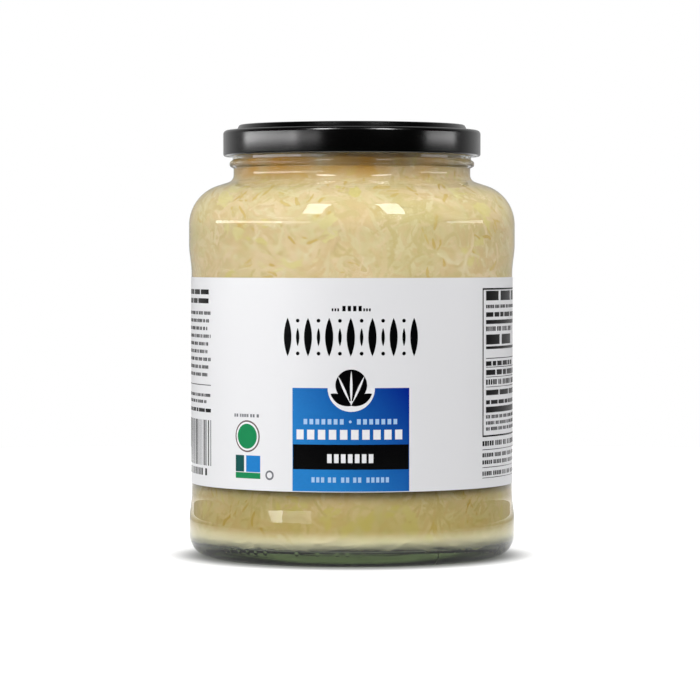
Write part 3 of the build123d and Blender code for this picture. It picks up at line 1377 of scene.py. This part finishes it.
@dataclass
class WallPath:
    """The hollow's wall as a path from the middle of the floor to the fill level."""

    points: np.ndarray

    def __post_init__(self) -> None:
        """Measure the path and its outward normals."""
        steps = np.linalg.norm(np.diff(self.points, axis=0), axis=1)
        self.lengths = np.concatenate([[0.0], np.cumsum(steps)])
        direction = np.gradient(self.points, axis=0)
        direction /= np.linalg.norm(direction, axis=1, keepdims=True)
        self.normals = np.stack([direction[:, 1], -direction[:, 0]], 1)

    @property
    def length(self) -> float:
        """Length of the whole path."""
        return float(self.lengths[-1])

    def at_height(self, height: float) -> float:
        """How far along the path the wall reaches a height."""
        index = int(np.flatnonzero(self.points[:, 1] < height)[-1])
        return float(self.lengths[index])

    def place(self, along: np.ndarray, turn: np.ndarray, depth: np.ndarray) -> tuple[np.ndarray, np.ndarray]:
        """Points inside the wall.

        Args:
            along: Places along the path.
            turn: Angles about the axis, from -Y towards +X.
            depth: Depths under the wall's face.

        Returns:
            The points, and the wall's outward normals there.
        """
        radius = np.interp(along, self.lengths, self.points[:, 0])
        height = np.interp(along, self.lengths, self.points[:, 1])
        out = np.interp(along, self.lengths, self.normals[:, 0])
        up = np.interp(along, self.lengths, self.normals[:, 1])
        size = np.hypot(out, up)
        out, up = out / size, up / size
        inner = radius - out * depth
        points = np.stack([inner * np.sin(turn), -inner * np.cos(turn), height - up * depth], -1)
        normals = np.stack([out * np.sin(turn), -out * np.cos(turn), up], -1)
        return points, normals


@dataclass(frozen=True)
class ShredKind:
    """One kind of cut piece in the pack."""

    name: str
    finish: Cabbage
    seed: int
    count: int
    bundle: int
    length: tuple[float, float]
    width: tuple[float, float]
    thickness: tuple[float, float]
    depth: tuple[float, float]
    wander: float
    tilt: float
    segments: int


@dataclass
class Sauerkraut:
    """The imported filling: a core just inside the glass, and thin shreds of several kinds on its face."""

    path: WallPath
    level: float
    label_bottom: float
    label_top: float
    below_top: float = 1.3
    core_depth: float = 0.14
    core_relief: float = 0.015
    core_step: float = 0.9
    core_tone: float = 0.5
    core_tone_swing: float = 0.45
    crown_rise: float = 0.9
    crown_overlap: float = 0.1
    rim_drop: float = 0.9
    rim_bend: float = 0.2
    rim_width: float = 2.0
    middle_rise: float = 0.7
    core_end: float = 1.6
    relief_end: float = 1.8
    relief_from: float = 1.0
    sides: int = 5
    edge_above: float = 30.0
    sections: int = 220
    bundle_spread: float = 2.6
    bundle_turn: float = 0.25
    tone_spread: float = 0.16
    depth_bias: float = 1.3
    bend_lengths: tuple[float, float] = (9.0, 30.0)
    swing_lengths: tuple[float, float] = (10.0, 26.0)
    swing_depth: float = 0.02
    top_margin: float = 0.6
    least_radius: float = 4.0
    label_overlap: float = 2.0
    floor_climb: float = 2.0
    floor_reach: float = 6.0
    upper_share: float = 0.62
    gap_above: float = 0.985
    gap_turn: float = 0.08
    end_slope: float = 9.0
    end_width: float = 0.3
    end_power: float = 0.7
    width_swing: float = 0.18
    width_waves: tuple[float, float] = (6.0, 16.0)
    width_phase: float = 6.0

    @classmethod
    def from_jar(cls, jar: GlassJar, label: WrapLabel) -> Sauerkraut:
        """The filling for a jar.

        Args:
            jar: The jar, with its fill height.
            label: The label that hides the middle of the pack.

        Returns:
            The filling.
        """
        level = jar.fill_height - cls.below_top
        wall = [p for p in jar.inside() if p[1] < level and p[0] > 0.0 or p[0] == 0.0]
        dense = rounded([(r, z, 0) for r, z in [*wall, (wall[-1][0], level)]], line_step=1.0)
        return cls(WallPath(np.array(dense)), level, label.bottom, label.top)

    def shreds(self, kind: ShredKind) -> bpy.types.Object:
        """Make all shreds of a kind as one mesh.

        Args:
            kind: The kind.

        Returns:
            The piece.
        """
        draw = np.random.default_rng(kind.seed)
        count, steps = kind.count, kind.segments + 1
        bundles = math.ceil(count / kind.bundle)
        own = np.arange(count) // kind.bundle
        along, turn = self.scatter(bundles, draw)
        heading = draw.uniform(0, 2 * math.pi, bundles)
        tone_of_bundle = draw.uniform(0, 1, bundles)
        spread = self.bundle_spread
        along = along[own] + draw.normal(0, 1, count) * spread
        turn = turn[own] + draw.normal(0, 1, count) * spread / self.path.points[:, 0].max()
        heading = heading[own] + draw.normal(0, self.bundle_turn, count)
        tone = np.clip(tone_of_bundle[own] + draw.normal(0, self.tone_spread, count), 0, 1)
        length = draw.uniform(*kind.length, count)
        width = draw.uniform(*kind.width, count)
        thickness = draw.uniform(*kind.thickness, count)
        shallowest, deepest = kind.depth
        deep = shallowest + (deepest - shallowest) * draw.uniform(0, 1, count) ** self.depth_bias
        step = length / kind.segments
        bends = [self.wave(self.bend_lengths, count, draw) for _ in range(2)]
        swing_length, swing_phase = self.wave(self.swing_lengths, count, draw)
        far_end = self.path.length - self.top_margin
        path_along = np.zeros((steps, count))
        path_turn = np.zeros((steps, count))
        path_depth = np.zeros((steps, count))
        for k in range(steps):
            travelled = k * step
            course = heading.copy()
            for wavelength, phase in bends:
                course += kind.wander * np.sin(2 * math.pi * travelled / wavelength + phase)
            path_along[k], path_turn[k] = along, turn
            swing = self.swing_depth * np.sin(2 * math.pi * travelled / swing_length + swing_phase)
            path_depth[k] = deep + swing
            radius = np.interp(along, self.path.lengths, self.path.points[:, 0])
            along = along + np.sin(course) * step
            along = np.where(along > far_end, 2 * far_end - along, along)
            along = np.abs(along)
            turn = turn + np.cos(course) * step / np.maximum(radius, self.least_radius)
        points, normals = self.path.place(path_along, path_turn, path_depth)
        return self.ribbons(kind, draw, points, normals, width, thickness, tone)

    @staticmethod
    def wave(
        lengths: tuple[float, float], count: int, draw: np.random.Generator
    ) -> tuple[np.ndarray, np.ndarray]:
        """Draw a wavelength between two lengths, and a phase, for each of some waves."""
        return draw.uniform(*lengths, count), draw.uniform(0, 2 * math.pi, count)

    def scatter(self, count: int, draw: np.random.Generator) -> tuple[np.ndarray, np.ndarray]:
        """Starting places: most where the glass is bare, a few behind the label's gap.

        Args:
            count: How many places.
            draw: The random numbers.

        Returns:
            Places along the wall's path, and angles about the axis.
        """
        low_end = self.path.at_height(self.label_bottom + self.label_overlap)
        top_start = self.path.at_height(self.label_top - self.label_overlap)
        floor_edge = self.path.at_height(self.path.points[:, 1].min() + self.floor_climb) - self.floor_reach
        zone = draw.uniform(0, 1, count)
        share = draw.uniform(0, 1, count)
        along = np.where(
            zone < self.upper_share,
            top_start + share * (self.path.length - top_start),
            floor_edge + share * (low_end - floor_edge),
        )
        turn = draw.uniform(-math.pi, math.pi, count)
        behind = zone > self.gap_above
        along = np.where(behind, low_end + share * (top_start - low_end), along)
        turn = np.where(behind, math.pi + draw.normal(0, self.gap_turn, count), turn)
        return along, turn

    def ribbons(
        self,
        kind: ShredKind,
        draw: np.random.Generator,
        points: np.ndarray,
        normals: np.ndarray,
        width: np.ndarray,
        thickness: np.ndarray,
        tone: np.ndarray,
    ) -> bpy.types.Object:
        """Give paths a flattened round section and join them into one mesh.

        Args:
            kind: The kind of shred.
            draw: The random numbers.
            points: Each path's points, steps first.
            normals: The wall's normals there.
            width: Each shred's width.
            thickness: Each shred's thickness.
            tone: Each shred's own tone.

        Returns:
            The piece.
        """
        steps, count, _ = points.shape
        tangent = np.gradient(points, axis=0)
        tangent /= np.linalg.norm(tangent, axis=2, keepdims=True)
        side = np.cross(tangent, normals)
        side /= np.linalg.norm(side, axis=2, keepdims=True)
        face = np.cross(side, tangent)
        share = np.linspace(0, 1, steps)[:, None]
        twist = draw.normal(0, kind.tilt, count) + draw.normal(0, kind.tilt, count) * share * 2
        wide = np.cos(twist)[..., None] * side + np.sin(twist)[..., None] * face
        thick = -np.sin(twist)[..., None] * side + np.cos(twist)[..., None] * face
        taper = np.minimum(share, 1 - share) * self.end_slope + self.end_width
        ends = np.clip(taper, 0, 1) ** self.end_power
        waves, phase = draw.uniform(*self.width_waves, count), draw.uniform(0, self.width_phase, count)
        uneven = 1 + self.width_swing * np.sin(share * waves + phase)
        angles = around(self.sides)
        half_width = (width / 2 * ends * uneven)[..., None, None]
        half_thickness = (thickness / 2 * ends)[..., None, None]
        ring = (
            points[:, :, None, :]
            + half_width * np.cos(angles)[:, None] * wide[:, :, None, :]
            + half_thickness * np.sin(angles)[:, None] * thick[:, :, None, :]
        )
        vertices = ring.transpose(1, 0, 2, 3).reshape(-1, 3)
        faces = self.tube_faces(steps, count)
        parts = MeshParts()
        parts.add(vertices, faces, tone=np.repeat(tone, steps * self.sides))
        piece = parts.build(kind.name, kind.finish.material(), sharp_above=self.edge_above)
        return piece

    def tube_faces(self, steps: int, count: int) -> list[list[int]]:
        """Faces of many tubes with closed ends.

        Args:
            steps: Sections of each tube.
            count: How many tubes.

        Returns:
            The faces.
        """
        one = []
        for k in range(steps - 1):
            for j in range(self.sides):
                n = (j + 1) % self.sides
                low, high = k * self.sides, (k + 1) * self.sides
                one.append([low + j, high + j, high + n, low + n])
        quads = np.array(one)[None] + np.arange(count)[:, None, None] * steps * self.sides
        first = np.arange(self.sides)
        last = first[::-1] + (steps - 1) * self.sides
        caps = np.stack([first, last])[None] + np.arange(count)[:, None, None] * steps * self.sides
        return quads.reshape(-1, 4).tolist() + caps.reshape(-1, self.sides).tolist()

    def core(self, finish: bpy.types.Material) -> bpy.types.Object:
        """Make the core: the mass behind the shreds, with a faint relief, that meets the glass at its top.

        Args:
            finish: Its finish.

        Returns:
            The core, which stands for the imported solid.
        """
        outline = self.path.points.copy()
        inner = outline - self.path.normals * self.core_depth
        inner[0, 0] = 0.0
        inner[:, 0] = np.maximum(inner[:, 0], 0.0)
        rim = self.path.points[-1]
        crown = [
            (rim[0] + self.crown_overlap, self.level - self.rim_drop),
            (rim[0] + self.crown_overlap, self.level - self.rim_bend),
            (rim[0] - self.rim_width, self.level),
            (rim[0] * 0.5, self.level + self.middle_rise),
            (0.0, self.level + self.crown_rise),
        ]
        below = inner[inner[:, 1] < self.level - self.core_end]
        line = np.array(rounded([(r, z, 0) for r, z in [*below, *crown]], line_step=self.core_step))
        turns = around(self.sections)
        spots = np.stack(
            [
                line[:, :1] * np.sin(turns),
                -line[:, :1] * np.cos(turns),
                line[:, 1:] + 0 * turns,
            ],
            -1,
        )
        coarse = ripples(spots, waves=7, length=5.0, seed=11)
        fine = ripples(spots, waves=7, length=2.6, seed=12)
        rough = coarse * 0.6 + fine * 0.4
        inside = (line[:, 1] < self.level - self.relief_end) & (line[:, 0] > self.relief_from)
        lift = np.where(inside[:, None], self.core_relief * rough, 0.0)
        vertices, faces = lathe(list(map(tuple, line)), turns, lift=lift)
        drift = ripples(vertices, waves=6, length=6.0, seed=13)
        tone = np.clip(self.core_tone + self.core_tone_swing * drift, 0, 1)
        parts = MeshParts()
        parts.add(vertices, faces, tone=tone)
        core = parts.build("sauerkraut_core", finish, sharp_above=180)
        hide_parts("sauerkraut")
        return core


# ---------------------------------------------------------------- the studio


@dataclass(frozen=True)
class Softbox:
    """A plain rectangular lamp that points at the jar. Its sizes and distance are in metres."""

    name: str
    azimuth: float
    elevation: float
    distance: float
    width: float
    height: float
    radiance: float
    mirrored: bool = True

    def build(self, aim: Vector) -> bpy.types.Object:
        """Place the lamp.

        Args:
            aim: What it points at, in metres.

        Returns:
            The lamp.
        """
        data = bpy.data.lights.new(self.name, "AREA")
        data.shape = "RECTANGLE"
        data.size, data.size_y = self.width, self.height
        data.energy = self.radiance * math.pi * self.width * self.height
        lamp = bpy.data.objects.new(self.name, data)
        turn, rise = math.radians(self.azimuth), math.radians(self.elevation)
        away = Vector((math.sin(turn) * math.cos(rise), -math.cos(turn) * math.cos(rise), math.sin(rise)))
        lamp.location = aim + away * self.distance
        lamp.rotation_mode = "QUATERNION"
        lamp.rotation_quaternion = away.to_track_quat("Z", "Y")
        lamp.visible_camera = False
        lamp.visible_glossy = self.mirrored
        bpy.context.scene.collection.objects.link(lamp)
        return lamp


@dataclass
class Studio:
    """A pale floor, soft lamps and the camera. Sizes here are in metres."""

    floor_radius: float = 0.65
    floor_sides: int = 96
    floor_colour: str = "#A4A4A4"
    floor_glow: float = 0.84
    # Painted shade under the jar for rays through glass: a dimmer glow there, rising to full further out.
    shaded_under_glow: float = 0.6
    under_from: float = 0.056
    under_to: float = 0.2
    # Painted contact shadow: no glow within the first radius, full glow beyond the second.
    painted_shadow_radius: float = 0.048
    painted_shadow_end: float = 0.064
    far_from: float = 0.15
    far_to: float = 0.5
    mirror_near: float = 0.12
    mirror_clear: float = 0.3
    behind_from: float = -0.1
    behind_to: float = 0.6
    ambient: float = 0.08
    room_back: float = 0.35
    room_front: float = 0.0
    room_side: float = 0.95
    camera_distance: float = 1.142
    eye_height: float = 0.0994
    aim_height: float = 0.0679
    lens: float = 177.4
    sideways: float = -0.0027
    lamps: tuple[Softbox, ...] = (
        Softbox("softbox_front_left", -29, 40, 1.3, 0.29, 0.62, 9.2),
        Softbox("softbox_front_right", 32, 40, 1.3, 0.29, 0.62, 9.0),
        Softbox("strip_left", -79, 6.8, 1.0, 1.15, 0.08, 5.0),
        Softbox("panel_left_front", -42, 6.6, 1.0, 0.5, 0.08, 1.9),
        Softbox("strip_right", 86, 6.8, 1.0, 0.62, 0.08, 3.1),
        Softbox("fill_front", -36, 8, 1.0, 0.5, 0.5, 1.3, mirrored=False),
        Softbox("fill_far_left", -84, 15, 1.1, 0.5, 0.5, 2.6, mirrored=False),
        Softbox("fill_left", -56, 25, 1.1, 0.5, 0.5, 4.6, mirrored=False),
        Softbox("fill_right", 80, 25, 1.1, 0.7, 0.6, 3.9, mirrored=False),
        Softbox("fill_back", 178, 35, 1.2, 0.8, 0.6, 3.0, mirrored=False),
    )

    def build(self) -> None:
        """Make the stage."""
        self.build_world()
        self.build_floor()
        aim = Vector((0, 0, self.aim_height))
        for lamp in self.lamps:
            lamp.build(aim)
        self.build_camera()

    def build_world(self) -> None:
        """White to the camera and through glass, paler behind the jar than in front of it in reflections."""
        world = bpy.data.worlds.new("studio room")
        bpy.context.scene.world = world
        nodes = Nodes(world)
        across = nodes.part(nodes.add_node("ShaderNodeTexCoord").outputs["Generated"], "Y")
        behind = nodes.ramp(across, 0.0, self.room_side, self.room_front, self.room_back, smooth=True)
        soft, room, white = (
            nodes.glow("ShaderNodeBackground", strength) for strength in (self.ambient, behind, 1.0)
        )
        mirrored = nodes.choose(nodes.ray("Is Glossy Ray"), soft, room)
        seen = nodes.math("MAXIMUM", nodes.ray("Is Camera Ray"), nodes.ray("Is Transmission Ray"))
        nodes.add_node("ShaderNodeOutputWorld", {"Surface": nodes.choose(seen, mirrored, white)})

    def build_floor(self) -> None:
        """A pale floor that glows to white for the eye, keeps the jar's cast shadow and has a painted
        contact shadow round the jar's foot.
        """
        rim = [
            (self.floor_radius * math.cos(a), self.floor_radius * math.sin(a), 0.0)
            for a in around(self.floor_sides)
        ]
        mesh = bpy.data.meshes.new("studio_floor")
        mesh.from_pydata(rim, [], [list(range(self.floor_sides))])
        mesh.materials.append(self.floor_material())
        floor = bpy.data.objects.new("studio_floor", mesh)
        bpy.context.scene.collection.objects.link(floor)

    def floor_material(self) -> bpy.types.Material:
        """Matt painted board: it glows to white, with a painted contact shadow where the jar stands and a
        dimmer painted glow under the jar for rays through glass, and mirrors see it near by.
        """
        nodes = new_material("matt painted board")
        place = nodes.place()
        away = nodes.vector("LENGTH", place, output="Value")
        glossy = nodes.ray("Is Glossy Ray")
        # Painted contact shadow: the glow is zero under the jar and rises to full at the edge of the painted
        # shadow.
        near = nodes.ramp(away, self.painted_shadow_radius, self.painted_shadow_end, high=self.floor_glow, smooth=True)
        far = nodes.ramp(away, self.far_from, self.far_to, high=1.0 - self.floor_glow)
        glow = nodes.math("ADD", near, far)
        depth = nodes.part(place, "Y")
        behind = nodes.ramp(depth, self.behind_from, self.behind_to, low=self.room_front, smooth=True)
        close = nodes.ramp(away, self.mirror_clear, self.mirror_near, smooth=True)
        mirrored = nodes.math("MULTIPLY", glossy, nodes.math("MAXIMUM", close, behind))
        unlit = nodes.math("SUBTRACT", glossy, mirrored)
        direct = nodes.math("MAXIMUM", nodes.ray("Is Camera Ray"), mirrored)
        # Painted shade for rays through the glass: the floor under the jar glows less, rising to full away
        # from it.
        open_floor = nodes.ramp(away, self.under_from, self.under_to, low=self.shaded_under_glow, smooth=True)
        passed = nodes.math("MULTIPLY", nodes.ray("Is Transmission Ray"), open_floor)
        strength = nodes.math("MAXIMUM", nodes.math("MULTIPLY", glow, direct), passed)
        paint = nodes.mix(unlit, linear(self.floor_colour), linear("#000000"))
        board = nodes.add_node("ShaderNodeBsdfDiffuse", {"Color": paint}).outputs[0]
        light = nodes.glow("ShaderNodeEmission", strength)
        return nodes.surface(nodes.add_node("ShaderNodeAddShader", {0: board, 1: light}).outputs[0])

    def build_camera(self) -> None:
        """The camera, level with the shoulder of the jar and looking slightly down."""
        data = bpy.data.cameras.new("studio_camera")
        data.sensor_width = 36.0
        data.lens = self.lens
        data.shift_x = self.sideways
        data.clip_start = 0.01
        data.clip_end = 50.0
        camera = bpy.data.objects.new("studio_camera", data)
        camera.location = (0.0, -self.camera_distance, self.eye_height)
        aim = Vector((0.0, 0.0, self.aim_height)) - camera.location
        camera.rotation_mode = "QUATERNION"
        camera.rotation_quaternion = aim.to_track_quat("-Z", "Y")
        bpy.context.scene.collection.objects.link(camera)
        bpy.context.scene.camera = camera


# ---------------------------------------------------------------- the whole


def shred_kinds() -> list[ShredKind]:
    """The kinds of shred in the pack, from the fine pale ones to torn leaf."""
    pale = Cabbage("fermented cabbage, pale shreds", "#BCAD8E", "#AD9B70")
    cream = Cabbage("fermented cabbage, cream shreds", "#BFAB8E", "#B39D76", patch_share=0.4)
    golden = Cabbage("fermented cabbage, golden shreds", "#B29D6A", "#A98F54", patch_share=0.3)
    leaf = Cabbage("fermented cabbage, torn leaf", "#B8AB7E", "#B3A56C", patch_share=0.3)
    fine = {"thickness": (0.06, 0.11), "depth": (0.07, 0.14), "wander": 0.5, "tilt": 0.02, "segments": 9}
    short = {"wander": 0.4, "segments": 6}
    scraps = {"thickness": (0.08, 0.12), "depth": (0.05, 0.11), "tilt": 0.03, **short}
    torn = {"thickness": (0.06, 0.1), "depth": (0.06, 0.12), "tilt": 0.015, **short}
    return [
        ShredKind(
            "shreds_pale", pale, 101, count=1950, bundle=3, length=(10, 24), width=(1.0, 2.0), **fine
        ),
        ShredKind(
            "shreds_cream", cream, 104, count=1950, bundle=2, length=(8, 20), width=(1.2, 2.6), **fine
        ),
        ShredKind(
            "shreds_golden", golden, 102, count=420, bundle=3, length=(3, 7), width=(0.7, 1.3), **scraps
        ),
        ShredKind(
            "shreds_leaf", leaf, 103, count=260, bundle=4, length=(3, 8), width=(2.0, 4.2), **torn
        ),
    ]


def main() -> None:
    """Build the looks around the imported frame."""
    logging.basicConfig(level=logging.INFO, format="%(name)s %(message)s")
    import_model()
    bpy.context.scene.view_settings.view_transform = "Standard"

    jar = GlassJar.from_frame()
    LOG.info("jar: %s", jar.build(MouldedGlass().material()).name)

    lid = TwistLid.from_frame()
    LOG.info("lid: %s", lid.build(Lacquer().material()).name)

    label = WrapLabel.from_frame()
    LOG.info("label: %s", label.build(LabelFilm().material()).name)
    artwork = Artwork(label)
    artwork.draw()
    for piece in artwork.build():
        LOG.info("print: %s, %d faces", piece.name, len(piece.data.polygons))

    filling = Sauerkraut.from_jar(jar, label)
    core_finish = Cabbage("packed sauerkraut", "#BCAB87", "#AE9A6E")
    LOG.info("filling: %s", filling.core(core_finish.material()).name)
    for kind in shred_kinds():
        piece = filling.shreds(kind)
        LOG.info("filling: %s, %d faces", piece.name, len(piece.data.polygons))

    Studio().build()


if __name__ == "__main__":
    main()
